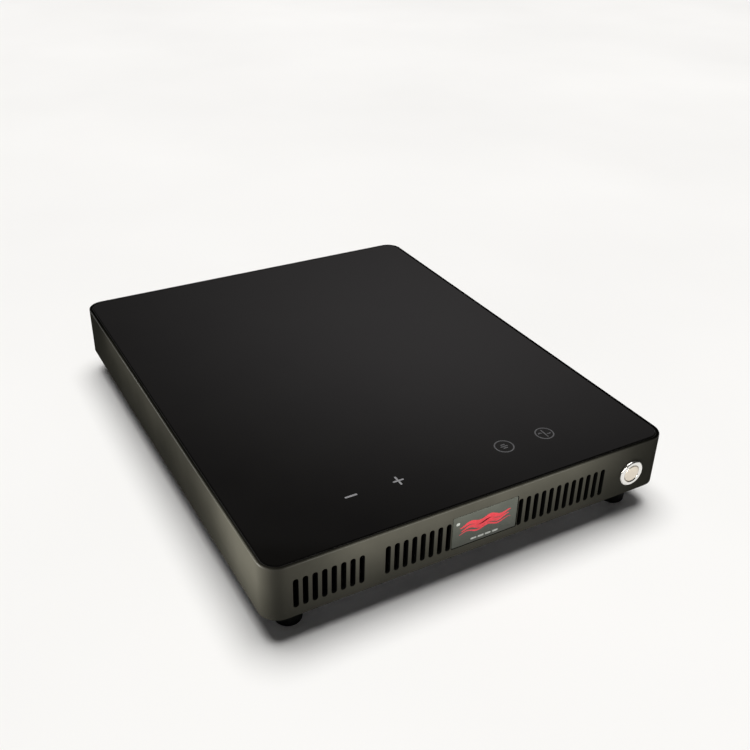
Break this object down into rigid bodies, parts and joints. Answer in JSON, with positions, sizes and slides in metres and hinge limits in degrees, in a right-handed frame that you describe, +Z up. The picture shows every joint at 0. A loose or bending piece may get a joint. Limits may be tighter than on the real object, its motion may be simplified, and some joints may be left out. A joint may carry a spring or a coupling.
{
  "type": "induction cooktop",
  "caption": "Countertop induction cooktop: flat black glass in a grey slotted housing, with touch keys, a round push button, rubber feet, and its coil, boards and fans inside.",
  "frame": {"origin": "on the table under the middle of the unit", "axes": "+X to the right seen from the front, +Y from the front vents to the rear, +Z up"},
  "size_m": [0.305, 0.386, 0.0603],
  "materials": {
    "housing": "dark warm grey satin coat",
    "glass_ceramic": "polished black glass-ceramic",
    "silicone": "black silicone",
    "badge": "satin grey-green",
    "rubber": "black rubber",
    "steel_sheet": "zinc-coated sheet",
    "screws": "zinc-plated steel",
    "button_metal": "polished stainless steel",
    "button_satin": "satin stainless steel",
    "nickel": "nickel-plated",
    "spring_steel": "spring steel wire",
    "switch_plastic": "black moulded plastic",
    "copper": "lacquered copper strand",
    "tinned_brass": "tinned brass",
    "tray_plastic": "glass-filled plastic",
    "ferrite": "sintered ferrite",
    "mica": "pressed mica",
    "circuit_board": "green solder resist on glass-epoxy",
    "sink": "extruded aluminium",
    "black_epoxy": "moulded epoxy",
    "film_case": "yellow plastic case",
    "can": "sleeved aluminium can",
    "bobbin": "taped bobbin and core",
    "clear_glass": "glass tube with metal caps",
    "wire_sleeve": "insulated wire",
    "sensor_bead": "nickel-plated cap",
    "fan_plastic": "black glass-filled plastic",
    "shaft_steel": "ground steel"
  },
  "bodies": {
    "unit": {"badge_plate": "badge", "base_plate": "steel_sheet", "base_screws": "screws", "board_screws": "screws", "board_standoffs": "nickel", "bridge_rectifier": "black_epoxy", "button_bezel": "button_metal", "button_nut": "nickel", "button_seal": "silicone", "button_spring": "spring_steel", "coil_leads": "copper", "coil_posts": "nickel", "coil_screws": "screws", "coil_tray": "tray_plastic", "common_mode_choke": "ferrite", "cord_bushing": "rubber", "current_transformer": "ferrite", "earth_stud": "screws", "electrolytic_capacitors": "can", "fan_frame_left": "fan_plastic", "fan_frame_right": "fan_plastic", "fan_screws": "screws", "ferrite_bars": "ferrite", "filter_board": "circuit_board", "filter_capacitor": "film_case", "filter_choke": "ferrite", "foot_front_left": "rubber", "foot_front_right": "rubber", "foot_rear_left": "rubber", "foot_rear_right": "rubber", "foot_screws": "screws", "fuse": "clear_glass", "glass_gasket": "silicone", "glass_top": "glass_ceramic", "heat_sink": "sink", "housing_shell": "housing", "induction_coil": "copper", "internal_leads": "wire_sleeve", "mica_sheet": "mica", "power_board": "circuit_board", "power_transistor": "black_epoxy", "resonant_capacitor": "film_case", "ribbon_cable": "wire_sleeve", "sensor_holder": "switch_plastic", "sensor_pad": "silicone", "smoothing_capacitor": "film_case", "supply_transformer": "bobbin", "switch_body": "switch_plastic", "switch_terminals": "tinned_brass", "temperature_sensor": "sensor_bead", "terminal_blocks": "switch_plastic", "thermal_cutout": "black_epoxy", "touch_board": "circuit_board", "touch_board_carrier": "switch_plastic", "touch_springs": "spring_steel"},
    "power_button": {"button_cap": "button_satin"},
    "fan_left": {"fan_rotor_left": "fan_plastic", "fan_shaft_left": "shaft_steel"},
    "fan_right": {"fan_rotor_right": "fan_plastic", "fan_shaft_right": "shaft_steel"}
  },
  "joints": [
    {"name": "power_button_press", "type": "slide", "parent": "unit", "child": "power_button", "axis": [0, 1, 0], "range_m": [0, 0.0025], "stiffness_N_per_m": 600, "springref_m": -0.002, "deforming": ["button_spring"]},
    {"name": "fan_left_spin", "type": "hinge", "parent": "unit", "child": "fan_left", "pos_m": [-0.075, 0.095, 0.029], "axis": [0, 0, 1], "continuous": true},
    {"name": "fan_right_spin", "type": "hinge", "parent": "unit", "child": "fan_right", "pos_m": [0.075, 0.095, 0.029], "axis": [0, 0, 1], "continuous": true}
  ]
}
